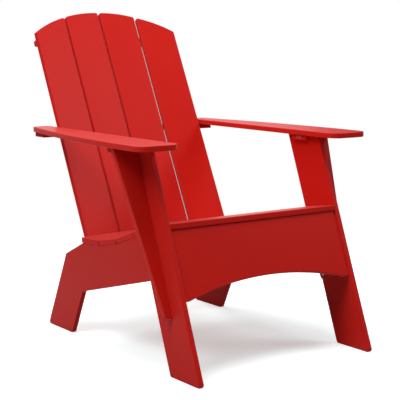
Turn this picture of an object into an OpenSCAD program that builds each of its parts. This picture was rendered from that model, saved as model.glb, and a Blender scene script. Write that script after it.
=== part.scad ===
// Adirondack chair cut from one thickness of coloured plastic sheet.
// It faces -Y and stands on Z = 0, centred on X = 0 and on its own depth.
// Side profiles are drawn as [y, z] with y measured back from the toe of the front feet.

/* [Sheet] */
// Thickness of every board
sheet = 15; // [12:0.5:19]
// Corner radius of the legs and the rear feet
foot_r = 8; // [3:1:14]
// Gap left between pieces that only pass each other
pass_gap = 0.5; // [0.2:0.1:1.5]

/* [Front legs and arms] */
// Distance over the outer faces of the two front legs
leg_span = 600; // [520:5:720]
// Width of a front leg, square to its edges
leg_w = 126; // [100:1:150]
// Lean of the front legs from upright, foot forward
leg_lean = 21.2; // [15:0.2:25]
// Height of the top of the arms
arm_top = 611; // [520:1:730]
// Width of an arm at the front
arm_w = 129; // [100:1:160]
// Width of an arm at its rear end
arm_rear_w = 55; // [40:1:80]
// Overhang of the arm in front of the leg
arm_nose = 99; // [40:1:130]
// How much further forward the outer front corner is than the inner one
arm_skew = 2; // [0:1:25]
// Length of arm behind the back slats
arm_tail = 50; // [40:1:80]
// Gap between an arm and the side of the back
arm_gap = 4; // [3:0.5:20]
// Radius of the arm's outer front corner
arm_nose_r = 34; // [10:1:40]
// Radius of the arm's inner front corner
arm_tip_r = 34; // [5:1:40]
// Radius of the arm's rear corners
arm_r = 13; // [5:1:20]

/* [Arm brackets and cleats] */
// Reach of the bracket under the arm
bracket_top_w = 74; // [50:1:95]
// Width of the bracket's lower end
bracket_low_w = 21; // [15:1:35]
// Height of the bracket's lower end along the leg
bracket_low = 194; // [120:1:260]
// Length of the cleat on the inner face of the leg
cleat_l = 60; // [40:1:80]

/* [Seat] */
// Height of the seat's front edge
seat_front_z = 403; // [340:1:480]
// Depth of the seat, from its front edge to the middle of the back
seat_depth = 510; // [450:1:620]
// Width of the rear seat slat as a multiple of the others
rear_share = 1.5; // [1.3:0.05:1.8]
// Gap between seat slats, on their closer face
seat_gap = 2; // [1.5:0.5:8]
// Radius of the rear slat's outer corners
seat_corner_r = 22; // [8:1:30]

/* [Back] */
// Lean of the back from upright
back_lean = 26.1; // [18:0.1:32]
// Length of the middle of the back from floor level, along its slope
back_len = 1065; // [880:1:1280]
// Room between each side of the back and the stringer
back_room = 10.5; // [8:0.5:40]
// Gap between back slats
back_gap = 8.5; // [5:0.5:14]
// Radius of the hollow across the back
back_r = 1275; // [900:5:2500]
// Radius of the arched top of the back
crown_r = 458; // [420:1:800]
// Radius of the corners at the top of each slat
slat_corner_r = 6; // [2:1:12]
// Depth of the curved rails behind the slats
rail_depth = 45; // [35:1:60]
// Drop of the upper batten's top edge below the crown, along the slope
batten_drop = 87; // [75:1:160]
// Inset of the upper batten from the side of the back
batten_inset = 17; // [0:1:25]
// Drop of the lower rail's top edge below the seat, along the slope
low_rail_drop = 60; // [45:1:66]

/* [Side stringers] */
// Distance of the rear heel behind the middle of the seat's rear edge
heel_run = 167; // [130:1:220]
// Width of the rear foot, square to its edges
rear_foot_w = 131; // [100:1:160]
// Lean of the rear foot from upright, heel back
rear_lean = 26; // [18:0.5:32]
// Depth of the stringer below the rear seat slat
stringer_depth = 146; // [110:1:170]
// Rise of the stringer's lower edge towards the front
underside_rise = 14.7; // [10:0.1:18]
// Fall of the tail behind the seat
tail_fall = 24.5; // [15:0.5:32]
// Inset of the stringer's front end from the rear edge of the leg
tab_inset = 12; // [6:1:20]
// Lower end of the stringer's front, along the leg
tab_low = 236; // [215:1:270]

/* [Front apron] */
// Setback of the apron's face from the front edge of the legs
apron_setback = 5; // [2:0.5:12]
// Lower edge of the apron at the legs, along the leg
apron_low = 226; // [190:1:260]
// Rise of the arch in the apron's lower edge
arch_rise = 38; // [15:1:60]
// Length of the straight stretch at each end of the arch
arch_land = 16; // [5:1:40]

/* [Screws] */
// Shank diameter
screw_d = 5; // [4:0.5:6]
// Head diameter
head_d = 9; // [8:0.5:10]
// Thickness of board that each screw point leaves uncut
point_skin = 4; // [3:0.5:6]
// Radial room round a screw
screw_fit = 0.15; // [0.1:0.05:0.3]

/* [Hidden] */
$fn = 48;
red = [0.78, 0.1, 0.08];
steel = [0.72, 0.73, 0.75];
big = 3000;

// Angles of the seat slats below level, front to rear
seat_fall = [8, 21, 19, 12, 3];
slats = 4;
last = len(seat_fall) - 1;

leg_out = leg_span / 2;
leg_in = leg_out - sheet;
stringer_in = leg_in - sheet;
cleat_in = stringer_in - sheet;
arm_low = arm_top - sheet;
// Length along the leg's slope up to the height of the seat's front edge
seat_s = seat_front_z / cos(leg_lean);

// ---- plane geometry ----
function dir(a) = [cos(a), sin(a)];
function cross2(u, v) = u[0] * v[1] - u[1] * v[0];
function unit(v) = v / norm(v);
// Where the line through p along u crosses the line through q along v
function meet(p, u, q, v) = p + u * cross2(q - p, v) / cross2(u, v);
// Height at y on the line through p along u
function height_at(y, p, u) = p[1] + (y - p[0]) * u[1] / u[0];
// One rounded corner of an outline whose entries are [x, y, radius]
function corner(a, b, c, n = 6) =
    let (u = unit([a[0] - b[0], a[1] - b[1]]), v = unit([c[0] - b[0], c[1] - b[1]]),
         half = acos(max(-1, min(1, u * v))) / 2, r = b[2], p = [b[0], b[1]])
    r < 0.01 || half > 89 ? [p] :
    let (m = p + unit(u + v) * r / sin(half),
         t0 = p + u * r / tan(half) - m, t1 = p + v * r / tan(half) - m,
         a0 = atan2(t0[1], t0[0]), a1 = atan2(t1[1], t1[0]),
         turn = a1 - a0 > 180 ? a1 - a0 - 360 : a1 - a0 < -180 ? a1 - a0 + 360 : a1 - a0)
    [for (i = [0:n]) m + r * dir(a0 + turn * i / n)];
function rounded(pts) = let (k = len(pts))
    [for (i = [0:k - 1]) each corner(pts[(i + k - 1) % k], pts[i], pts[(i + 1) % k])];

// ---- frames that lean with the legs and with the back ----
// In both, X stays put, Y runs square to the boards to the rear and Z runs up the slope.
function tilt(lean, n, s) = [n * cos(lean) + s * sin(lean), s * cos(lean) - n * sin(lean)];
function leg_at(n, s) = tilt(leg_lean, n, s);
module leg_frame() rotate([-leg_lean, 0, 0]) children();
module back_frame() translate([0, back_foot_y, 0]) rotate([-back_lean, 0, 0]) children();
// A board whose outline [y, z] is extruded along X from x0
module side_board(pts, x0, x1 = undef)
    translate([x0, 0, 0]) rotate([90, 0, 90])
        linear_extrude((x1 == undef ? x0 + sheet : x1) - x0) polygon(pts);
module below(z) translate([-big / 2, -big / 2, z - big]) cube(big);
module placed() translate([0, -mid_y, 0]) children();
module on_side(side) { if (side > 0) children(); else mirror([1, 0, 0]) children(); }

// ---- seat profile ----
function fall_dir(i) = dir(-seat_fall[i]);
function fall_up(i) = [sin(seat_fall[i]), cos(seat_fall[i])];
seat_y = tan(leg_lean) * (seat_front_z - sheet / 2);
function total(v, i = 0) = i < len(v) ? v[i] + total(v, i + 1) : 0;
// Where the seat bends down, the undersides close up, so the gap on top is wider
function top_gap(i) = seat_gap + 2 * sheet * tan(max(0, seat_fall[i] - seat_fall[i - 1]) / 2);
seat_slat_w = (seat_depth - total([for (i = [1:last]) top_gap(i)]))
    / (total([for (i = [0:last - 1]) cos(seat_fall[i])]) + rear_share);
// Front top edge of each slat, then its rear top edge
function slat_front(i) = i == 0 ? [seat_y, seat_front_z] :
    slat_rear(i - 1) + top_gap(i) * dir(-(seat_fall[i - 1] + seat_fall[i]) / 2);
function slat_rear(i) = slat_front(i) + seat_slat_w * fall_dir(i);
function slat_under(i, p) = p - sheet * fall_up(i);
// The rear slat runs to the back, so its length follows from the seat's depth
back_gap_y = 1.5;
back_at_seat = [seat_y + seat_depth, height_at(seat_y + seat_depth, slat_front(last), fall_dir(last))];
back_foot_y = back_at_seat[0] - back_at_seat[1] * tan(back_lean);

// ---- back ----
back_slat_w = (2 * (stringer_in - back_room) - (slats - 1) * back_gap) / slats;
batten_s = back_len - batten_drop;
low_rail_s = back_at_seat[1] / cos(back_lean) - low_rail_drop;
pitch = 2 * atan((back_slat_w + back_gap) / 2 / (back_r + sheet));
function slat_angle(i) = (i - (slats - 1) / 2) * pitch;
slat_low = low_rail_s - 32;
half_back = (back_r + sheet) * sin(slat_angle(slats - 1)) + back_slat_w / 2 * cos(slat_angle(slats - 1));
back_edge_in = back_r * (1 - cos(slat_angle(slats - 1)))
    + back_slat_w / 2 * sin(slat_angle(slats - 1));
arm_in = half_back + arm_gap;
// Turns to slat angle a about the axis of the hollow
module round_back(a) translate([0, -back_r, 0]) rotate([0, 0, -a]) translate([0, back_r, 0]) children();
// Rear of the slats as flats, one for each slat, as [x, n] points
function flats(r) = [for (i = [0:slats])
    let (a = (i - slats / 2) * pitch, far = (r) / cos(pitch / 2))
    [far * sin(a), far * cos(a) - back_r]];
rear_flats = flats(back_r + sheet);

// Rear of the outer slats where the arms cross them
rear_at_arm = back_foot_y + arm_low * tan(back_lean)
    + (sheet - back_edge_in) / cos(back_lean);
arm_rear_y = rear_at_arm + arm_tail;
arm_front_y = arm_low * tan(leg_lean) - arm_nose;
batten_rear = tilt(back_lean, sheet + rail_depth, batten_s);
crown_rear = tilt(back_lean, sheet, back_len);
rear_y = back_foot_y + max(batten_rear[0], crown_rear[0]);
// Rounding the toe of the foot moves the frontmost point back
toe_y = foot_r * (1 / tan((90 - leg_lean) / 2) - 1);
mid_y = (toe_y + rear_y) / 2;

// ---- screws ----
head_h = (head_d - screw_d) / 2;
// Length of the clear way cut in front of each head
mouth = 4;
// A countersunk screw pointing down -Z from a surface at Z = 0
module screw(l) {
    difference() {
        union() {
            translate([0, 0, -head_h]) cylinder(h = head_h, d1 = screw_d, d2 = head_d);
            translate([0, 0, -l + screw_d / 2]) cylinder(h = l - screw_d / 2, d = screw_d);
            translate([0, 0, -l]) cylinder(h = screw_d / 2, d1 = screw_d / 3, d2 = screw_d);
        }
        translate([0, 0, -head_h * 0.8]) cylinder(h = head_h, d = head_d * 0.42, $fn = 6);
    }
}
module screw_hole(l) {
    f = 2 * screw_fit;
    translate([0, 0, -head_h - f]) cylinder(h = head_h + f, d1 = screw_d + f, d2 = head_d + 2 * f);
    translate([0, 0, -l - f]) cylinder(h = l + f, d = screw_d + f);
    translate([0, 0, -0.01]) cylinder(h = mouth, d = head_d + 2 * f);
}
module screw_or_hole(l, hole) { if (hole) screw_hole(l); else screw(l); }
two_boards = 2 * sheet - point_skin;
// Through a rail's depth into a back slat
rail_screw = rail_depth + sheet - point_skin;

// Screws from the rear edge of a rail into each slat, s up the slope
module rail_screws(s, hole)
    for (i = [0:slats - 1]) back_frame() round_back(slat_angle(i)) for (side = [-1, 1])
        translate([side * back_slat_w / 4, sheet + rail_depth, s]) rotate([-90, 0, 0])
            screw_or_hole(rail_screw, hole);
// The arm rail lies level, so its screws run level too
arm_rail_z = arm_low - sheet / 2;
function rail_y(x) = back_foot_y + arm_rail_z * tan(back_lean)
    + (sheet - back_r + sqrt(pow(back_r, 2) - pow(x, 2))) / cos(back_lean);
module level_rail_screws(hole)
    for (i = [0:slats - 1], side = [-1, 1]) {
        x = back_r * sin(slat_angle(i)) + side * back_slat_w / 4;
        translate([x, rail_y(x) + rail_depth + 2, arm_rail_z]) rotate([-90, 0, 0])
            screw_or_hole(rail_screw - 1, hole);
    }
module back_screw_set(hole) {
    rail_screws(batten_s - sheet / 2, hole);
    rail_screws(low_rail_s - sheet / 2, hole);
    level_rail_screws(hole);
}

// Screws up through the seat cleat into each seat slat
seat_cleat_h = 30;
seat_screw = seat_cleat_h + sheet - point_skin;
function seat_screw_at(i) = i < last ? seat_slat_w * [0.3, 0.7] : seat_slat_w * [0.2, 0.68];
module seat_screw_set(hole)
    for (side = [-1, 1]) on_side(side) for (i = [0:last], along = seat_screw_at(i)) {
        p = slat_under(i, slat_front(i) + along * fall_dir(i));
        translate([stringer_in - sheet / 2, p[0], p[1]]) rotate([-seat_fall[i], 0, 0])
            translate([0, 0, -seat_cleat_h]) rotate([180, 0, 0]) screw_or_hole(seat_screw, hole);
    }

// Screws up into the arm: through the rear rail and through both cleats
inner_cleat_y = arm_low * tan(leg_lean) + leg_w / 2 / cos(leg_lean) - cleat_l / 2;
outer_cleat_y = arm_low * tan(leg_lean)
    + (leg_w / 2 + sheet) / cos(leg_lean) - sheet / 2 * tan(leg_lean);
outer_cleat_rear_y = outer_cleat_y + sheet / 2 / cos(leg_lean);
arm_screw_xy = [
    [(arm_in + arm_in + arm_rear_w) / 2, arm_rear_y - arm_tail + 14],
    [(arm_in + arm_in + arm_rear_w) / 2 - 8, arm_rear_y - 14],
    [leg_in - sheet / 2, inner_cleat_y + cleat_l * 0.2],
    [leg_in - sheet / 2, inner_cleat_y + cleat_l * 0.8],
    [leg_out + bracket_top_w * 0.3, outer_cleat_y],
    [leg_out + bracket_top_w * 0.75, outer_cleat_y]];
module arm_screw_set(hole)
    for (side = [-1, 1]) on_side(side) for (p = arm_screw_xy)
        translate([p[0], p[1], arm_low - sheet]) rotate([180, 0, 0]) screw_or_hole(two_boards, hole);

// Screws from the leg's inner face into the bracket's edge, hidden by the stringer
bracket_screw_s = [tab_low + 20, (tab_low + seat_s) / 2 - 18, seat_s - 56];
module bracket_screw_set(hole)
    for (side = [-1, 1]) on_side(side) leg_frame() for (s = bracket_screw_s)
        translate([leg_in, leg_w / 2, s]) rotate([0, -90, 0]) screw_or_hole(sheet + 25, hole);

// Screws from the stringer's inner face into the leg
stringer_screw_ns = [for (n = [apron_setback + sheet + 18, leg_w - tab_inset - 14],
    s = [tab_low + 14, seat_s - 86]) [n, s]];
module stringer_screw_set(hole)
    for (side = [-1, 1]) on_side(side) leg_frame() for (p = stringer_screw_ns)
        translate([stringer_in, p[0], p[1]]) rotate([0, -90, 0]) screw_or_hole(two_boards, hole);

// Screws forward through the apron cleats into the apron
apron_cleat_s = [apron_low + 24, seat_s - 96];
module apron_screw_set(hole)
    for (side = [-1, 1]) on_side(side) leg_frame() for (s = apron_cleat_s + [22, -22])
        translate([stringer_in - sheet / 2, apron_setback + 2 * sheet, s]) rotate([-90, 0, 0])
            screw_or_hole(two_boards, hole);

// Screws that hold every cleat to its board
rail_cleat_n = [sheet + 12, sheet + rail_depth - 10];
function seat_cleat_at(i) = slat_under(i, slat_front(i) + seat_slat_w / 2 * fall_dir(i))
    - seat_cleat_h / 2 * fall_up(i);
module cleat_screw_set(hole)
    for (side = [-1, 1]) on_side(side) {
        for (along = [0.4, 0.6])
            translate([leg_in - sheet, inner_cleat_y + cleat_l * along, arm_low - sheet / 2])
                rotate([0, -90, 0]) screw_or_hole(two_boards, hole);
        for (along = [0.15, 0.52])
            translate([leg_out + bracket_top_w * along, outer_cleat_rear_y - head_d / 2 * tan(leg_lean),
                arm_low - sheet / 2]) rotate([-90, 0, 0]) screw_or_hole(two_boards, hole);
        for (i = [0:last]) let (p = seat_cleat_at(i))
            translate([cleat_in, p[0], p[1]]) rotate([0, -90, 0]) screw_or_hole(two_boards, hole);
        leg_frame() for (s = apron_cleat_s + [8, -8])
            translate([cleat_in, apron_setback + 1.5 * sheet, s])
                rotate([0, -90, 0]) screw_or_hole(two_boards, hole);
        back_frame() for (n = rail_cleat_n)
            translate([cleat_in, n, low_rail_s - 1.5 * sheet])
                rotate([0, -90, 0]) screw_or_hole(two_boards, hole);
    }
// Distance up the leg frame at which a line n behind the leg's front reaches height z
function leg_slope_at(n, z) = (z + n * sin(leg_lean)) / cos(leg_lean);

// ---- back boards ----
module back_slat(i) {
    a = slat_angle(i);
    // The crown is one arc across all the slats
    mid = back_r * sin(a);
    top_c = [-mid / cos(a), back_len - crown_r];
    function top_s(u) = top_c[1] + sqrt(pow(crown_r, 2) - pow(u - top_c[0], 2));
    h = back_slat_w / 2;
    r = slat_corner_r;
    crown = [for (k = [0:12]) let (u = h - r + (2 * r - 2 * h) * k / 12) [u, top_s(u), 0]];
    outline = rounded(concat([[-h, slat_low, 3], [h, slat_low, 3], [h, top_s(h), r]],
        [for (k = [1:11]) crown[k]], [[-h, top_s(-h), r]]));
    difference() {
        back_frame() round_back(a) translate([0, sheet, 0]) rotate([90, 0, 0])
            linear_extrude(sheet) polygon(outline);
        back_screw_set(true);
    }
}
// Outline of a curved rail: flats in front, an arc behind, square ends at half length x
function rail_outline(x, r_end) =
    let (rear = back_r + sheet + rail_depth, a = asin(x / rear),
         side_n = rear_flats[0][1] + (x - abs(rear_flats[0][0])) * -tan(slat_angle(slats - 1)))
    rounded(concat([[-x, side_n, 0]],
        [for (p = rear_flats) if (abs(p[0]) < x - 1) [p[0], p[1], 0]],
        [[x, side_n, 0], [x, rear * cos(a) - back_r, r_end]],
        [for (k = [1:15]) let (b = a - 2 * a * k / 16) [rear * sin(b), rear * cos(b) - back_r, 0]],
        [[-x, rear * cos(a) - back_r, r_end]]));
module sloped_rail(x, s, r_end) back_frame() translate([0, 0, s - sheet])
    linear_extrude(sheet) polygon(rail_outline(x, r_end));
module upper_batten() difference() {
    sloped_rail(half_back - batten_inset, batten_s, 8);
    back_screw_set(true);
}
module lower_rail() difference() {
    sloped_rail(stringer_in - pass_gap, low_rail_s, 3);
    back_screw_set(true);
}
// Everything in front of the rear face of the slats
module slat_side() back_frame() translate([0, 0, -big / 2]) linear_extrude(big)
    polygon(concat(rear_flats, [[half_back + 300, rear_flats[slats][1]], [half_back + 300, -big],
        [-half_back - 300, -big], [-half_back - 300, rear_flats[0][1]]]));
module arm_rail() {
    x = arm_in + arm_rear_w - 6;
    rail_rear_y = rail_y(0) + rail_depth;
    end_y = arm_rear_y;
    sag = rail_rear_y - end_y;
    r = (x * x + sag * sag) / (2 * sag);
    a = asin((x - 16) / r);
    rear = [for (k = [0:20]) let (b = a - 2 * a * k / 20) [r * sin(b), rail_rear_y - r + r * cos(b), 0]];
    front_y = rail_y(x) - 60;
    difference() {
        translate([0, 0, arm_low - sheet]) linear_extrude(sheet)
            polygon(rounded(concat([[-x, front_y, 2], [x, front_y, 2], [x, end_y, 9]], rear,
                [[-x, end_y, 9]])));
        slat_side();
        level_rail_screws(true);
        arm_screw_set(true);
    }
}

// ---- arms, legs and what holds them ----
module arm() {
    x0 = arm_in;
    x1 = arm_in + arm_w;
    y0 = arm_front_y;
    bow_y = y0 + 62;
    fall = arm_w - arm_rear_w;
    run = arm_rear_y - bow_y;
    r = (run * run + fall * fall) / (2 * fall);
    sweep = asin((run - arm_r * 1.6) / r);
    bow = [for (k = [0:22]) let (b = sweep * k / 22) [x1 - r + r * cos(b), bow_y + r * sin(b), 0]];
    translate([0, 0, arm_low]) linear_extrude(sheet)
        polygon(rounded(concat([[x0, y0 + arm_skew / 2, arm_tip_r], [x1, y0 - arm_skew / 2, arm_nose_r]],
            bow, [[x1 - fall, arm_rear_y, arm_r], [x0, arm_rear_y, arm_r]])));
}
module arm_on(side) difference() {
    on_side(side) arm();
    arm_screw_set(true);
}
module front_leg() {
    toe = [0, 0];
    heel = [leg_w / cos(leg_lean), 0];
    up = arm_low * tan(leg_lean);
    side_board(rounded([[toe[0], 0, foot_r], [heel[0], 0, foot_r],
        [heel[0] + up, arm_low, 2], [up, arm_low, 2]]), leg_in);
}
module front_leg_on(side) difference() {
    on_side(side) front_leg();
    bracket_screw_set(true);
    stringer_screw_set(true);
    cleat_screw_set(true);
}
module arm_bracket() {
    top_s = leg_slope_at(leg_w / 2 - sheet / 2, arm_low) + sheet;
    reach = bracket_low_w + (bracket_top_w - bracket_low_w) * (top_s - bracket_low)
        / (top_s - sheet - bracket_low);
    intersection() {
        leg_frame() translate([leg_out, leg_w / 2 + sheet / 2, 0]) rotate([90, 0, 0])
            linear_extrude(sheet) polygon(rounded([[0, bracket_low, 0],
                [bracket_low_w, bracket_low, 9], [reach, top_s, 0], [0, top_s, 0]]));
        below(arm_low);
    }
}
module arm_bracket_on(side) difference() {
    on_side(side) arm_bracket();
    bracket_screw_set(true);
    cleat_screw_set(true);
}
module inner_cleat_on(side) difference() {
    on_side(side) translate([leg_in - sheet, inner_cleat_y, arm_low - sheet])
        cube([sheet, cleat_l, sheet]);
    arm_screw_set(true);
    cleat_screw_set(true);
}
module outer_cleat_on(side) difference() {
    on_side(side) intersection() {
        leg_frame() translate([leg_out, leg_w / 2 + sheet / 2, 0]) cube([bracket_top_w, sheet, big]);
        below(arm_low);
        translate([0, 0, arm_low - sheet]) translate([-big / 2, -big / 2, 0]) cube(big);
    }
    arm_screw_set(true);
    cleat_screw_set(true);
}

// ---- seat and stringers ----
// Line under the slats that the stringers and cleats follow, from the front to y_end
function under_line(i, drop) = slat_under(i, slat_front(i)) - drop * fall_up(i);
function seat_line(drop, y_end) = concat([under_line(0, drop)],
    [for (i = [1:last]) meet(under_line(i - 1, drop), fall_dir(i - 1), under_line(i, drop), fall_dir(i))],
    [[y_end, height_at(y_end, under_line(last, drop), fall_dir(last))]]);
// Outer rear end of the seat, where the back's edge and the corner's radius leave it
seat_end_y = back_at_seat[0] - back_edge_in / cos(back_lean) - back_gap_y - seat_corner_r;
module seat_slat(i) {
    p = slat_front(i);
    x = leg_in - pass_gap;
    flat = [[-x, 0], [x, 0], [x, seat_slat_w], [-x, seat_slat_w]];
    // The rear slat runs past the back's edges and is cut to its hollow
    side_len = (seat_end_y + seat_corner_r - slat_front(last)[0]) / cos(seat_fall[last]);
    far = side_len + seat_slat_w;
    h = half_back + pass_gap;
    rear = rounded([[-x, 0, 0], [x, 0, 0], [x, side_len, seat_corner_r], [h, side_len, 0],
        [h, far, 0], [-h, far, 0], [-h, side_len, 0], [-x, side_len, seat_corner_r]]);
    difference() {
        translate([0, p[0], p[1]]) rotate([-seat_fall[i], 0, 0]) translate([0, 0, -sheet])
            linear_extrude(sheet) polygon(i < last ? flat : rear);
        seat_screw_set(true);
        if (i == last) back_side();
    }
}
// Everything behind a surface that stands just in front of the back
module back_side() {
    r = back_r - back_gap_y;
    a = asin((leg_in + sheet) / r);
    back_frame() translate([0, -back_r, -big / 2]) linear_extrude(big)
        polygon(concat([for (k = [0:30]) r * dir(90 - a + 2 * a * k / 30)], [[-leg_out, big], [leg_out, big]]));
}

tail_top = seat_line(0, seat_end_y)[len(seat_line(0, seat_end_y)) - 1];
base_l = seat_y + seat_depth + heel_run;
heel = [base_l, 0];
rear_up = [-sin(rear_lean), cos(rear_lean)];
rear_toe = [base_l - rear_foot_w / cos(rear_lean), 0];
under_dir = dir(-underside_rise);
// The lower edge passes this far below the rear slat, on the front line of the rear foot
knee = meet(rear_toe, rear_up, tail_top - [0, stringer_depth], [1, 0]);
tab_n = leg_w - tab_inset;
front_n = apron_setback + sheet + pass_gap;
leg_up = leg_at(0, 1);
module stringer() {
    top = seat_line(0, seat_end_y);
    front_top = meet(leg_at(front_n, 0), leg_up, top[0], top[1] - top[0]);
    notch = meet(leg_at(tab_n, 0), leg_up, knee, under_dir);
    tail = meet(heel, rear_up, tail_top, dir(-tail_fall));
    function with_r(p, r) = [p[0], p[1], r];
    side_board(rounded(concat(
        [with_r(leg_at(front_n, tab_low), 3), with_r(leg_at(tab_n, tab_low), 10),
         with_r(notch, 12), with_r(knee, 14), with_r(rear_toe, foot_r), with_r(heel, foot_r),
         with_r(tail, 8)],
        [for (k = [len(top) - 1:-1:1]) with_r(top[k], 0)],
        [with_r(front_top, 0)])), stringer_in);
}
module stringer_on(side) difference() {
    on_side(side) stringer();
    stringer_screw_set(true);
    cleat_screw_set(true);
}
module seat_cleat_on(side) {
    y_end = seat_end_y - 16;
    top = seat_line(0, y_end);
    low = seat_line(seat_cleat_h, y_end);
    line_n = front_n + pass_gap;
    front_top = meet(leg_at(line_n, 0), leg_up, top[0], top[1] - top[0]);
    front_low = meet(leg_at(line_n, 0), leg_up, low[0], low[1] - low[0]);
    difference() {
        on_side(side) side_board(concat([front_top], [for (k = [1:len(top) - 1]) top[k]],
            [for (k = [len(low) - 1:-1:1]) low[k]], [front_low]), cleat_in);
        seat_screw_set(true);
        cleat_screw_set(true);
    }
}
module apron_cleat_on(side) difference() {
    on_side(side) leg_frame() translate([cleat_in, apron_setback + sheet, apron_cleat_s[0] - 12])
        cube([sheet, sheet, apron_cleat_s[1] - apron_cleat_s[0] + 24]);
    apron_screw_set(true);
    cleat_screw_set(true);
}
module rail_cleat_on(side) difference() {
    on_side(side) back_frame() translate([cleat_in, sheet + 2, low_rail_s - 2 * sheet])
        cube([sheet, rail_depth - 2, sheet]);
    cleat_screw_set(true);
}
module front_apron() {
    x = leg_in - pass_gap;
    span = x - arch_land;
    r = (span * span + arch_rise * arch_rise) / (2 * arch_rise);
    sweep = asin(span / r);
    arch = [for (k = [0:32]) let (b = sweep * (1 - k / 16))
        [r * sin(b), apron_low + arch_rise - r + r * cos(b), 0]];
    top_s = seat_s + sheet;
    first = seat_line(0, seat_end_y);
    roof = first[0] - (first[1] - first[0]);
    roof_end = first[1];
    difference() {
        leg_frame() translate([0, apron_setback + sheet, 0]) rotate([90, 0, 0])
            linear_extrude(sheet) polygon(rounded(concat([[-x, top_s, 0], [-x, apron_low, 4]],
                [for (k = [32:-1:0]) arch[k]], [[x, apron_low, 4], [x, top_s, 0]])));
        side_board([roof, roof_end, roof_end + [0, big], roof + [0, big]], -big / 2, big / 2);
        apron_screw_set(true);
    }
}

module back_slat_1() color(red) placed() back_slat(0);
module back_slat_2() color(red) placed() back_slat(1);
module back_slat_3() color(red) placed() back_slat(2);
module back_slat_4() color(red) placed() back_slat(3);
module seat_board(i) color(red) placed() seat_slat(i);
LEFT = -1;
RIGHT = 1;

back_slat_1();
back_slat_2();
back_slat_3();
back_slat_4();
color(red) placed() upper_batten();
color(red) placed() arm_rail();
color(red) placed() lower_rail();
color(red) placed() arm_on(LEFT);  // left_arm
color(red) placed() arm_on(RIGHT);  // right_arm
color(red) placed() front_leg_on(LEFT);  // left_front_leg
color(red) placed() front_leg_on(RIGHT);  // right_front_leg
color(red) placed() arm_bracket_on(LEFT);  // left_arm_bracket
color(red) placed() arm_bracket_on(RIGHT);  // right_arm_bracket
color(red) placed() inner_cleat_on(LEFT);  // left_inner_cleat
color(red) placed() inner_cleat_on(RIGHT);  // right_inner_cleat
color(red) placed() outer_cleat_on(LEFT);  // left_outer_cleat
color(red) placed() outer_cleat_on(RIGHT);  // right_outer_cleat
color(red) placed() stringer_on(LEFT);  // left_stringer
color(red) placed() stringer_on(RIGHT);  // right_stringer
color(red) placed() front_apron();
seat_board(0);  // seat_slat_1
seat_board(1);  // seat_slat_2
seat_board(2);  // seat_slat_3
seat_board(3);  // seat_slat_4
seat_board(4);  // seat_slat_5
color(red) placed() seat_cleat_on(LEFT);  // left_seat_cleat
color(red) placed() seat_cleat_on(RIGHT);  // right_seat_cleat
color(red) placed() apron_cleat_on(LEFT);  // left_apron_cleat
color(red) placed() apron_cleat_on(RIGHT);  // right_apron_cleat
color(red) placed() rail_cleat_on(LEFT);  // left_rail_cleat
color(red) placed() rail_cleat_on(RIGHT);  // right_rail_cleat
color(steel) placed() back_screw_set(false);  // back_screws
color(steel) placed() seat_screw_set(false);  // seat_screws
color(steel) placed() arm_screw_set(false);  // arm_screws
color(steel) placed() bracket_screw_set(false);  // bracket_screws
color(steel) placed() stringer_screw_set(false);  // stringer_screws
color(steel) placed() apron_screw_set(false);  // apron_screws
color(steel) placed() cleat_screw_set(false);  // cleat_screws
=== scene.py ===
import math

import bmesh
import bpy
import numpy as np
from bpy.props import FloatProperty, FloatVectorProperty, IntProperty, PointerProperty
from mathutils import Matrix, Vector


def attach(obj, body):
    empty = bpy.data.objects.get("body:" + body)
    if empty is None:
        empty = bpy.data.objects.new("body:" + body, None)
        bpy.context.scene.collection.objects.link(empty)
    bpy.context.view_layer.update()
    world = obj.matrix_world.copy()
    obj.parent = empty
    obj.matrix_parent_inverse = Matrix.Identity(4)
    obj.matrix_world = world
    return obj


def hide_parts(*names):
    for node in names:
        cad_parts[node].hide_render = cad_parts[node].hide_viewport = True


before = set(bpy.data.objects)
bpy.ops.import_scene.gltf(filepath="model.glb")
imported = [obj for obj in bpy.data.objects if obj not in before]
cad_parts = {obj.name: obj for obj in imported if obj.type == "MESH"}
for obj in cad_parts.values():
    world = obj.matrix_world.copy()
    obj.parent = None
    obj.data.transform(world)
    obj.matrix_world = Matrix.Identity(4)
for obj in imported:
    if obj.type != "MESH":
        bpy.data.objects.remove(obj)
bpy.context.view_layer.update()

bl_info = {
    "name": "Adirondack Chair",
    "version": (1, 0, 0),
    "blender": (4, 5, 0),
    "location": "View3D > Sidebar > Chair",
    "description": "Finishes the boards and screws of a sheet-plastic adirondack chair",
    "category": "Add Mesh",
}

BODY = "root"
WELD = 1e-6
FLAT_ANGLE = math.radians(0.1)
SHARP_ANGLE = math.radians(25)
SMOOTH_ANGLE = math.radians(50)
FLATS_WEIGHT = 100
SCREW_NODES = [n for n in sorted(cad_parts) if n.endswith("_screws")]
SIDES = ("left", "right")

# Radius round a screw's axis, and length past its ends, that hold the rim of its hole
SCREW_REACH = 0.0054
SCREW_MOUTH = 0.002
# A face this square to the broadest one is skin, and any other is a cut edge
SKIN_FACING = 0.9
# Boards finished in one step take this many materials in turn
SHEETS_IN_TURN = 3

# Patterns that the materials share
FINE_SCALE = 14.0
GRIT_SCALE = 1.7
LUMP_HEIGHT = 0.6
GRIT_HEIGHT = 0.4
MARK_RIDGES = 6.0

# Plastic sheet
SEED_SHIFT = (0.37, 0.21, 0.53)
SHEET_CLOUD = 0.22
SPECK_BAND = (0.35, 0.65)
SPECK_STRENGTH = 0.25
CUT_TINT = 0.55
CUT_ROUGHER = 0.05
CUTTER_SPACING = 0.0016
CUTTER_DEPTH = 0.35
GLOSS_DRIFT = 0.05
SHEET_BUMP = 0.6
SHEET_IOR = 1.5
SHEET_SPECULAR = 0.12
BLOOM_ROUGHNESS = 0.35

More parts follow.
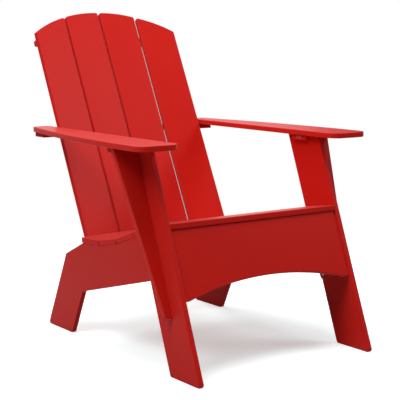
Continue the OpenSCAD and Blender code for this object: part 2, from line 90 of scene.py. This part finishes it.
# Stainless steel
STEEL_CLOUD = 0.004
STEEL_SHADE = 0.8
STEEL_SMOOTHER = 0.08
STEEL_ROUGHER = 0.12
STEEL_BUMP = 0.3
TURNING_DEPTH = 0.00002

# Floor
FLOOR_CLOUD = 1.5
FLOOR_DRIFT = 0.995
FLOOR_ROUGHNESS = 0.9
# Less red in the paper, which offsets the red that the chair casts on it
PAPER_TINT = (0.86, 1.0, 1.0)
WHITE = (1, 1, 1, 1)

# Name, place and size of each light, and the setting that holds its strength
LIGHTS = (
    ("overhead", (-0.3, -0.5, 3.3), 2.0, "key"),
    ("high_left", (-2.4, -0.6, 3.2), 2.0, "side"),
    ("high_rear", (0.2, 1.8, 3.0), 2.0, "rear"),
    ("front_right", (3.2, -2.0, 3.2), 2.0, "fill"),
    ("low_left", (-3.6, 0.4, 1.0), 2.0, "low"),
    ("rear_wall", (1.6, 3.4, 1.1), 3.0, "wall"),
)
LIGHTS_AIM = (0, 0, 0.4)

# Camera
CAMERA_PLACE = (-1.9547, -2.8182, 0.8997)
CAMERA_SHIFT = (-0.0009, 0.0094)
CAMERA_REACH = 100
SENSOR_WIDTH = 36


# ---------------------------------------------------------------- sizes and colours
class ChairSheetSettings(bpy.types.PropertyGroup):
    colour: FloatVectorProperty(name="Colour", description="Colour all through the sheet",
                                subtype="COLOR", size=3, min=0, max=1, default=(0.63, 0.0110, 0.0058))
    deep: FloatVectorProperty(name="Deep colour", description="Darker cloud in the sheet",
                              subtype="COLOR", size=3, min=0, max=1, default=(0.58, 0.0092, 0.0048))
    routed: FloatVectorProperty(name="Routed colour", description="Colour of the rounded edges",
                                subtype="COLOR", size=3, min=0, max=1, default=(0.64, 0.0120, 0.0066))
    edge_round: FloatProperty(name="Edge round", description="Radius routed along every edge",
                              unit="LENGTH", default=0.0020)
    edge_steps: IntProperty(name="Edge steps", description="Faces across a rounded edge", default=3)
    pebble: FloatProperty(name="Pebble", description="Size of the pebbled skin",
                          unit="LENGTH", default=0.0011)
    pebble_depth: FloatProperty(name="Pebble depth", description="Height of the pebbled skin",
                                unit="LENGTH", default=0.00004)
    roughness: FloatProperty(name="Roughness", description="Roughness of the skin", default=0.40)
    bloom: FloatProperty(name="Bloom", description="Pale bloom of the pebbled skin at grazing angles",
                         default=0.27)


class ChairSteelSettings(bpy.types.PropertyGroup):
    colour: FloatVectorProperty(name="Colour", description="Colour of the screws",
                                subtype="COLOR", size=3, min=0, max=1, default=(0.60, 0.60, 0.61))
    roughness: FloatProperty(name="Roughness", description="Roughness of the screws", default=0.42)
    turning: FloatProperty(name="Turning", description="Spacing of the turning marks",
                           unit="LENGTH", default=0.0004)


class ChairStageSettings(bpy.types.PropertyGroup):
    floor: FloatVectorProperty(name="Floor", description="Colour of the floor, as it lights the chair",
                               subtype="COLOR", size=3, min=0, max=1, default=(0.50, 0.50, 0.50))
    shade: FloatProperty(name="Shade", description="Depth of the shadows on the floor, seen directly",
                         default=1.0)
    patch: FloatProperty(name="Patch", description="Radius of the lit patch of floor",
                         unit="LENGTH", default=1.1)
    reach: FloatProperty(name="Reach", description="Half width of the floor",
                         unit="LENGTH", default=14.0)
    backdrop: FloatProperty(name="Backdrop", description="Brightness of the backdrop itself",
                            default=1.0)
    glow: FloatProperty(name="Glow", description="Own light of the floor, seen directly",
                        default=0.48)
    sky: FloatProperty(name="Sky", description="Strength of the light all round", default=0.03)
    key: FloatProperty(name="Key", description="Strength of the light overhead",
                       unit="POWER", default=44.0)
    side: FloatProperty(name="Side", description="Strength of the high light on the left",
                        unit="POWER", default=74.0)
    rear: FloatProperty(name="Rear", description="Strength of the high light behind",
                        unit="POWER", default=51.0)
    fill: FloatProperty(name="Fill", description="Strength of the light in front on the right",
                        unit="POWER", default=52.0)
    low: FloatProperty(name="Low", description="Strength of the low light on the left",
                       unit="POWER", default=7.0)
    wall: FloatProperty(name="Wall", description="Strength of the bright wall behind",
                        unit="POWER", default=24.0)
    lens: FloatProperty(name="Lens", description="Focal length", default=104.86)
    azimuth: FloatProperty(name="Azimuth", description="Turn of the camera round the chair",
                           subtype="ANGLE", default=math.radians(-35.56))
    elevation: FloatProperty(name="Elevation", description="Camera's tilt below level",
                             subtype="ANGLE", default=math.radians(8.47))


# ---------------------------------------------------------------- nodes
class Tree:
    """Adds nodes to a node tree and links them."""

    def __init__(self, tree):
        self.tree = tree

    def add(self, kind, inputs=None, **values):
        node = self.tree.nodes.new(kind)
        for key, value in values.items():
            setattr(node, key, value)
        for key, value in (inputs or {}).items():
            if isinstance(value, bpy.types.NodeSocket):
                self.tree.links.new(value, node.inputs[key])
            else:
                node.inputs[key].default_value = value
        return node

    def math(self, operation, a, b=0.0):
        return self.add("ShaderNodeMath", {0: a, 1: b}, operation=operation).outputs[0]

    def blend(self, factor, a, b):
        return self.add("ShaderNodeMix", {0: factor, 6: a, 7: b}, data_type="RGBA").outputs[2]


def new_group(name, inputs, outputs):
    """A node group with named sockets, its tree helper, and its two end nodes."""
    group = bpy.data.node_groups.new(name, "ShaderNodeTree")
    for label, kind, value in inputs:
        socket = group.interface.new_socket(name=label, in_out="INPUT", socket_type=kind)
        if value is not None:
            socket.default_value = value
    for label, kind in outputs:
        group.interface.new_socket(name=label, in_out="OUTPUT", socket_type=kind)
    tree = Tree(group)
    return group, tree, tree.add("NodeGroupInput"), tree.add("NodeGroupOutput")


def cloud_group():
    """Slow drift of shade through a moulded sheet, and the same drift in its gloss."""
    group, t, start, end = new_group(
        "sheet_cloud",
        [("Vector", "NodeSocketVector", None), ("Size", "NodeSocketFloat", 0.2)],
        [("Cloud", "NodeSocketFloat"), ("Fine", "NodeSocketFloat")])
    scale = t.math("DIVIDE", 1.0, start.outputs["Size"])
    slow = t.add("ShaderNodeTexNoise", {"Vector": start.outputs["Vector"], "Scale": scale,
                                        "Detail": 3.0, "Roughness": 0.55})
    fine = t.add("ShaderNodeTexNoise", {"Vector": start.outputs["Vector"],
                                        "Scale": t.math("MULTIPLY", scale, FINE_SCALE),
                                        "Detail": 4.0, "Roughness": 0.6})
    t.tree.links.new(slow.outputs["Fac"], end.inputs["Cloud"])
    t.tree.links.new(fine.outputs["Fac"], end.inputs["Fine"])
    return group


def pebble_group():
    """The finely pebbled skin that a textured press plate leaves on plastic sheet."""
    group, t, start, end = new_group(
        "pebbled_skin",
        [("Vector", "NodeSocketVector", None), ("Size", "NodeSocketFloat", 0.001)],
        [("Height", "NodeSocketFloat")])
    scale = t.math("DIVIDE", 1.0, start.outputs["Size"])
    cells = t.add("ShaderNodeTexVoronoi", {"Vector": start.outputs["Vector"], "Scale": scale,
                                           "Smoothness": 1.0}, feature="SMOOTH_F1")
    grit = t.add("ShaderNodeTexNoise", {"Vector": start.outputs["Vector"],
                                        "Scale": t.math("MULTIPLY", scale, GRIT_SCALE),
                                        "Detail": 2.0, "Roughness": 0.5})
    lumps = t.math("SUBTRACT", 1.0, cells.outputs["Distance"])
    both = t.math("ADD", t.math("MULTIPLY", lumps, LUMP_HEIGHT),
                  t.math("MULTIPLY", grit.outputs["Fac"], GRIT_HEIGHT))
    t.tree.links.new(both, end.inputs["Height"])
    return group


def milled_group():
    """Fine cutter marks on sawn and routed faces."""
    group, t, start, end = new_group(
        "cutter_marks",
        [("Vector", "NodeSocketVector", None), ("Spacing", "NodeSocketFloat", 0.0015)],
        [("Height", "NodeSocketFloat")])
    scale = t.math("DIVIDE", 0.5, start.outputs["Spacing"])
    marks = t.add("ShaderNodeTexNoise", {"Vector": start.outputs["Vector"], "Scale": scale,
                                         "Detail": 1.0, "Roughness": 0.4, "Distortion": 0.6})
    ridge = t.math("PINGPONG", t.math("MULTIPLY", marks.outputs["Fac"], MARK_RIDGES), 1.0)
    t.tree.links.new(ridge, end.inputs["Height"])
    return group


def use_group(t, group, **inputs):
    return t.add("ShaderNodeGroup", inputs, node_tree=group)


def fresh_material(name):
    material = bpy.data.materials.new(name)
    material.use_nodes = True
    material.node_tree.nodes.clear()
    t = Tree(material.node_tree)
    shader = t.add("ShaderNodeBsdfPrincipled")
    out = t.add("ShaderNodeOutputMaterial", {"Surface": shader.outputs["BSDF"]})
    return material, t, shader, out


def opaque(colour):
    return (*colour, 1.0)


def sheet_material(name, settings, groups, seed):
    """Coloured plastic sheet: pebbled faces, and smoother, slightly paler routed edges."""
    material, t, shader, _ = fresh_material(name)
    place = t.add("ShaderNodeTexCoord").outputs["Object"]
    shifted = t.add("ShaderNodeMapping", {"Vector": place,
                                          "Location": [seed * step for step in SEED_SHIFT]})
    vector = shifted.outputs["Vector"]
    cloud = use_group(t, groups["cloud"], Vector=vector, Size=SHEET_CLOUD)
    cut = t.add("ShaderNodeAttribute", attribute_name="cut").outputs["Fac"]
    drift = t.blend(cloud.outputs["Cloud"], opaque(settings.deep), opaque(settings.colour))
    speck = t.add("ShaderNodeMapRange", {"Value": cloud.outputs["Fine"],
                                         "From Min": SPECK_BAND[0], "From Max": SPECK_BAND[1],
                                         "To Min": 0.0, "To Max": SPECK_STRENGTH})
    drift = t.blend(speck.outputs["Result"], drift, opaque(settings.colour))
    colour = t.blend(t.math("MULTIPLY", cut, CUT_TINT), drift, opaque(settings.routed))
    t.tree.links.new(colour, shader.inputs["Base Color"])
    gloss = t.add("ShaderNodeMapRange", {"Value": cloud.outputs["Fine"],
                                         "To Min": settings.roughness - GLOSS_DRIFT,
                                         "To Max": settings.roughness + GLOSS_DRIFT})
    rough = t.math("ADD", gloss.outputs["Result"], t.math("MULTIPLY", cut, CUT_ROUGHER))
    t.tree.links.new(rough, shader.inputs["Roughness"])
    pebble = use_group(t, groups["pebble"], Vector=vector, Size=settings.pebble)
    milled = use_group(t, groups["milled"], Vector=vector, Spacing=CUTTER_SPACING)
    skin = t.math("MULTIPLY", pebble.outputs["Height"], t.math("SUBTRACT", 1.0, cut))
    marks = t.math("MULTIPLY", milled.outputs["Height"], t.math("MULTIPLY", cut, CUTTER_DEPTH))
    bump = t.add("ShaderNodeBump", {"Height": t.math("ADD", skin, marks),
                                    "Strength": SHEET_BUMP, "Distance": settings.pebble_depth})
    t.tree.links.new(bump.outputs["Normal"], shader.inputs["Normal"])
    shader.inputs["IOR"].default_value = SHEET_IOR
    shader.inputs["Specular IOR Level"].default_value = SHEET_SPECULAR
    shader.inputs["Sheen Weight"].default_value = settings.bloom
    shader.inputs["Sheen Roughness"].default_value = BLOOM_ROUGHNESS
    return material


def steel_material(name, settings, groups):
    """Stainless steel turned on a lathe: faint rings and uneven gloss."""
    material, t, shader, _ = fresh_material(name)
    place = t.add("ShaderNodeTexCoord").outputs["Object"]
    cloud = use_group(t, groups["cloud"], Vector=place, Size=STEEL_CLOUD)
    tint = t.blend(cloud.outputs["Cloud"], opaque([c * STEEL_SHADE for c in settings.colour]),
                   opaque(settings.colour))
    t.tree.links.new(tint, shader.inputs["Base Color"])
    gloss = t.add("ShaderNodeMapRange", {"Value": cloud.outputs["Fine"],
                                         "To Min": settings.roughness - STEEL_SMOOTHER,
                                         "To Max": settings.roughness + STEEL_ROUGHER})
    t.tree.links.new(gloss.outputs["Result"], shader.inputs["Roughness"])
    marks = use_group(t, groups["milled"], Vector=place, Spacing=settings.turning)
    bump = t.add("ShaderNodeBump", {"Height": marks.outputs["Height"],
                                    "Strength": STEEL_BUMP, "Distance": TURNING_DEPTH})
    t.tree.links.new(bump.outputs["Normal"], shader.inputs["Normal"])
    shader.inputs["Metallic"].default_value = 1.0
    return material


SHARED = {}


def shared(name, make):
    """Whatever make() gives, made the first time its name is asked for and then kept."""
    store = SHARED.get(name)
    if store is None:
        store = SHARED[name] = make()
    return store


def shared_groups():
    return {"cloud": shared("cloud", cloud_group), "pebble": shared("pebble", pebble_group),
            "milled": shared("milled", milled_group)}


def sheet(seed):
    settings = bpy.context.scene.chair_sheet
    return shared(f"sheet_{seed}", lambda: sheet_material(f"red_sheet_{seed}", settings,
                                                          shared_groups(), seed))


# ---------------------------------------------------------------- boards
def islands(bm):
    """Separate solids in a mesh, each as a list of its corners."""
    left = set(bm.verts)
    found = []
    while left:
        todo, island = [left.pop()], []
        while todo:
            vert = todo.pop()
            island.append(vert)
            for edge in vert.link_edges:
                other = edge.other_vert(vert)
                if other in left:
                    left.remove(other)
                    todo.append(other)
        found.append(island)
    return found


def merged(node):
    """The CAD node's mesh with its loose triangles joined."""
    bm = bmesh.new()
    bm.from_mesh(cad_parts[node].data)
    bmesh.ops.remove_doubles(bm, verts=bm.verts, dist=WELD)
    return bm


def screw_lines():
    """Centre, direction and half length of every screw."""
    lines = []
    for node in SCREW_NODES:
        bm = merged(node)
        for island in islands(bm):
            points = np.array([v.co for v in island])
            centre = (points.min(0) + points.max(0)) / 2
            axis = np.linalg.svd(points - points.mean(0), full_matrices=False)[2][0]
            along = (points - centre) @ axis
            lines.append((Vector(centre), Vector(axis), float(np.abs(along).max())))
        bm.free()
    return lines


def on_screw(point, lines):
    """Whether a point lies on the wall or mouth of a screw hole."""
    for centre, axis, half in lines:
        offset = point - centre
        along = offset.dot(axis)
        if abs(along) < half + SCREW_MOUTH and (offset - axis * along).length < SCREW_REACH:
            return True
    return False


def finish_board(node, material):
    """A board with the CAD node's shape and a small round routed along its edges."""
    settings = bpy.context.scene.chair_sheet
    lines = shared("screw_lines", screw_lines)
    bm = merged(node)
    bmesh.ops.dissolve_limit(bm, angle_limit=FLAT_ANGLE, verts=bm.verts, edges=bm.edges)
    broad = max(bm.faces, key=lambda f: f.calc_area()).normal.copy()
    layer = bm.loops.layers.float.new("cut")
    for face in bm.faces:
        for loop in face.loops:
            loop[layer] = 0.0 if abs(face.normal.dot(broad)) > SKIN_FACING else 1.0
    rims = [e for e in bm.edges
            if len(e.link_faces) == 2 and e.calc_face_angle(0) > SHARP_ANGLE and e.is_convex
            and not all(on_screw(v.co, lines) for v in e.verts)]
    made = bmesh.ops.bevel(bm, geom=rims, offset=settings.edge_round, offset_type="OFFSET",
                           segments=settings.edge_steps, profile=0.5, affect="EDGES",
                           clamp_overlap=False, material=-1)
    layer = bm.loops.layers.float["cut"]
    for face in made["faces"]:
        for loop in face.loops:
            loop[layer] = 1.0
    for face in bm.faces:
        face.smooth = True
    mesh = bpy.data.meshes.new(node + "_board")
    bm.to_mesh(mesh)
    bm.free()
    mesh.set_sharp_from_angle(angle=SMOOTH_ANGLE)
    piece = bpy.data.objects.new(node + "_board", mesh)
    bpy.context.scene.collection.objects.link(piece)
    mesh.materials.append(material)
    weighted = piece.modifiers.new("even_flats", "WEIGHTED_NORMAL")
    weighted.keep_sharp = True
    weighted.weight = FLATS_WEIGHT
    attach(piece, BODY)
    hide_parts(node)


def finish_boards(nodes, first_seed):
    for i, node in enumerate(nodes):
        finish_board(node, sheet(first_seed + i % SHEETS_IN_TURN))
    return {"FINISHED"}


# ---------------------------------------------------------------- operators
class CHAIR_OT_back_slats(bpy.types.Operator):
    """Finish the slats of the back"""
    bl_idname = "chair.back_slats"
    bl_label = "Back slats"

    def execute(self, context):
        return finish_boards([f"back_slat_{i}" for i in (1, 2, 3, 4)], 0)


class CHAIR_OT_rails(bpy.types.Operator):
    """Finish the curved rails behind the back"""
    bl_idname = "chair.rails"
    bl_label = "Rails"

    def execute(self, context):
        return finish_boards(["upper_batten", "arm_rail", "lower_rail"], 3)


class CHAIR_OT_seat_slats(bpy.types.Operator):
    """Finish the slats of the seat"""
    bl_idname = "chair.seat_slats"
    bl_label = "Seat slats"

    def execute(self, context):
        return finish_boards([f"seat_slat_{i}" for i in (1, 2, 3, 4, 5)], 6)


class CHAIR_OT_arms(bpy.types.Operator):
    """Finish the arms"""
    bl_idname = "chair.arms"
    bl_label = "Arms"

    def execute(self, context):
        return finish_boards([f"{side}_arm" for side in SIDES], 1)


class CHAIR_OT_front_legs(bpy.types.Operator):
    """Finish the front legs"""
    bl_idname = "chair.front_legs"
    bl_label = "Front legs"

    def execute(self, context):
        return finish_boards([f"{side}_front_leg" for side in SIDES], 4)


class CHAIR_OT_brackets(bpy.types.Operator):
    """Finish the brackets that carry the arms"""
    bl_idname = "chair.brackets"
    bl_label = "Arm brackets"

    def execute(self, context):
        return finish_boards([f"{side}_arm_bracket" for side in SIDES], 7)


class CHAIR_OT_stringers(bpy.types.Operator):
    """Finish the side stringers with their rear feet"""
    bl_idname = "chair.stringers"
    bl_label = "Stringers"

    def execute(self, context):
        return finish_boards([f"{side}_stringer" for side in SIDES], 2)


class CHAIR_OT_apron(bpy.types.Operator):
    """Finish the arched front apron"""
    bl_idname = "chair.apron"
    bl_label = "Front apron"

    def execute(self, context):
        return finish_boards(["front_apron"], 5)


class CHAIR_OT_cleats(bpy.types.Operator):
    """Finish the cleats under the arms, the seat, the apron and the lower rail"""
    bl_idname = "chair.cleats"
    bl_label = "Cleats"

    def execute(self, context):
        kinds = ("inner_cleat", "outer_cleat", "seat_cleat", "apron_cleat", "rail_cleat")
        return finish_boards([f"{side}_{kind}" for side in SIDES for kind in kinds], 8)


class CHAIR_OT_screws(bpy.types.Operator):
    """Finish the stainless screws"""
    bl_idname = "chair.screws"
    bl_label = "Screws"

    def execute(self, context):
        steel = shared("steel", lambda: steel_material("turned_stainless",
                                                       context.scene.chair_steel,
                                                       shared_groups()))
        for node in SCREW_NODES:
            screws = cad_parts[node]
            for slot in screws.material_slots:
                slot.material = steel
        return {"FINISHED"}


def soft_light(name, place, target, size, power):
    light = bpy.data.lights.new(name, "AREA")
    light.shape = "DISK"
    light.size = size
    light.energy = power
    lamp = bpy.data.objects.new(name, light)
    bpy.context.scene.collection.objects.link(lamp)
    lamp.location = place
    lamp.rotation_euler = (Vector(target) - Vector(place)).to_track_quat("-Z", "Y").to_euler()
    lamp.visible_camera = False


def floor_material(settings):
    """Pale paper that lights the chair as a grey floor and is seen as a nearly white one."""
    material, t, shader, out = fresh_material("pale_floor")
    place = t.add("ShaderNodeTexCoord").outputs["Object"]
    cloud = use_group(t, shared_groups()["cloud"], Vector=place, Size=FLOOR_CLOUD)
    pale = t.blend(cloud.outputs["Cloud"], opaque([c * FLOOR_DRIFT for c in settings.floor]),
                   opaque(settings.floor))
    t.tree.links.new(pale, shader.inputs["Base Color"])
    shader.inputs["Roughness"].default_value = FLOOR_ROUGHNESS
    shader.inputs["Specular IOR Level"].default_value = 0.0
    # Seen directly, the lit paper is nearly white and its shadows are pale
    seen_directly = t.add("ShaderNodeLightPath").outputs["Is Camera Ray"]
    paper = t.add("ShaderNodeBsdfDiffuse",
                  {"Color": opaque([settings.shade * part for part in PAPER_TINT])})
    glow = t.add("ShaderNodeEmission", {"Color": WHITE, "Strength": settings.glow})
    lit = t.add("ShaderNodeAddShader", {0: paper.outputs[0], 1: glow.outputs[0]})
    # Past the lit patch the paper runs into the white backdrop
    away = t.add("ShaderNodeVectorMath", {0: place}, operation="LENGTH").outputs["Value"]
    fade = t.add("ShaderNodeMapRange", {"Value": away, "From Min": settings.patch,
                                        "From Max": settings.patch * 2})
    white = t.add("ShaderNodeEmission", {"Color": WHITE, "Strength": settings.backdrop})
    spread = t.add("ShaderNodeMixShader", {0: fade.outputs["Result"], 1: lit.outputs[0],
                                           2: white.outputs[0]})
    mixed = t.add("ShaderNodeMixShader", {0: seen_directly, 1: shader.outputs["BSDF"],
                                          2: spread.outputs[0]})
    t.tree.links.new(mixed.outputs[0], out.inputs["Surface"])
    return material


def lay_floor(scene, settings):
    bm = bmesh.new()
    bmesh.ops.create_grid(bm, x_segments=1, y_segments=1, size=settings.reach)
    mesh = bpy.data.meshes.new("floor")
    bm.to_mesh(mesh)
    bm.free()
    floor = bpy.data.objects.new("floor", mesh)
    scene.collection.objects.link(floor)
    mesh.materials.append(floor_material(settings))


def hang_sky(scene, settings):
    """A backdrop that is white to the camera and only a faint light to everything else."""
    world = bpy.data.worlds.new("studio")
    world.use_nodes = True
    w = Tree(world.node_tree)
    seen_directly = w.add("ShaderNodeLightPath").outputs["Is Camera Ray"]
    strength = w.add("ShaderNodeMapRange", {"Value": seen_directly, "To Min": settings.sky,
                                            "To Max": settings.backdrop})
    background = world.node_tree.nodes["Background"]
    w.tree.links.new(strength.outputs["Result"], background.inputs["Strength"])
    background.inputs["Color"].default_value = WHITE
    scene.world = world


def place_camera(scene, settings):
    camera = bpy.data.cameras.new("camera")
    camera.lens = settings.lens
    camera.sensor_width = SENSOR_WIDTH
    camera.shift_x, camera.shift_y = CAMERA_SHIFT
    camera.clip_end = CAMERA_REACH
    seen = bpy.data.objects.new("camera", camera)
    scene.collection.objects.link(seen)
    seen.location = CAMERA_PLACE
    seen.rotation_euler = (math.radians(90) - settings.elevation, 0, settings.azimuth)
    scene.camera = seen


class CHAIR_OT_stage(bpy.types.Operator):
    """Lay the floor, hang the lights and set the camera"""
    bl_idname = "chair.stage"
    bl_label = "Stage"

    def execute(self, context):
        scene = context.scene
        settings = scene.chair_stage
        lay_floor(scene, settings)
        hang_sky(scene, settings)
        for name, place, size, strength in LIGHTS:
            soft_light(name, place, LIGHTS_AIM, size, getattr(settings, strength))
        place_camera(scene, settings)
        scene.view_settings.view_transform = "Standard"
        return {"FINISHED"}


PIECE_OPERATORS = (CHAIR_OT_back_slats, CHAIR_OT_rails, CHAIR_OT_seat_slats, CHAIR_OT_arms,
                   CHAIR_OT_front_legs, CHAIR_OT_brackets, CHAIR_OT_stringers, CHAIR_OT_apron,
                   CHAIR_OT_cleats, CHAIR_OT_screws, CHAIR_OT_stage)


class CHAIR_PT_panel(bpy.types.Panel):
    """Lists the steps that finish the chair"""
    bl_idname = "CHAIR_PT_panel"
    bl_label = "Adirondack chair"
    bl_space_type = "VIEW_3D"
    bl_region_type = "UI"
    bl_category = "Chair"

    def draw(self, context):
        for name in ("chair_sheet", "chair_steel", "chair_stage"):
            settings = getattr(context.scene, name)
            box = self.layout.box()
            for key in settings.bl_rna.properties.keys():
                if key not in ("rna_type", "name"):
                    box.prop(settings, key)
        for operator in PIECE_OPERATORS:
            self.layout.operator(operator.bl_idname)


SETTINGS = {"chair_sheet": ChairSheetSettings, "chair_steel": ChairSteelSettings,
            "chair_stage": ChairStageSettings}


def register():
    for cls in (*SETTINGS.values(), *PIECE_OPERATORS, CHAIR_PT_panel):
        bpy.utils.register_class(cls)
    for name, cls in SETTINGS.items():
        setattr(bpy.types.Scene, name, PointerProperty(type=cls))


def unregister():
    for name in SETTINGS:
        delattr(bpy.types.Scene, name)
    for cls in reversed((*SETTINGS.values(), *PIECE_OPERATORS, CHAIR_PT_panel)):
        bpy.utils.unregister_class(cls)


def main():
    register()
    for operator in PIECE_OPERATORS:
        group, name = operator.bl_idname.split(".")
        getattr(getattr(bpy.ops, group), name)()


if __name__ == "__main__":
    main()
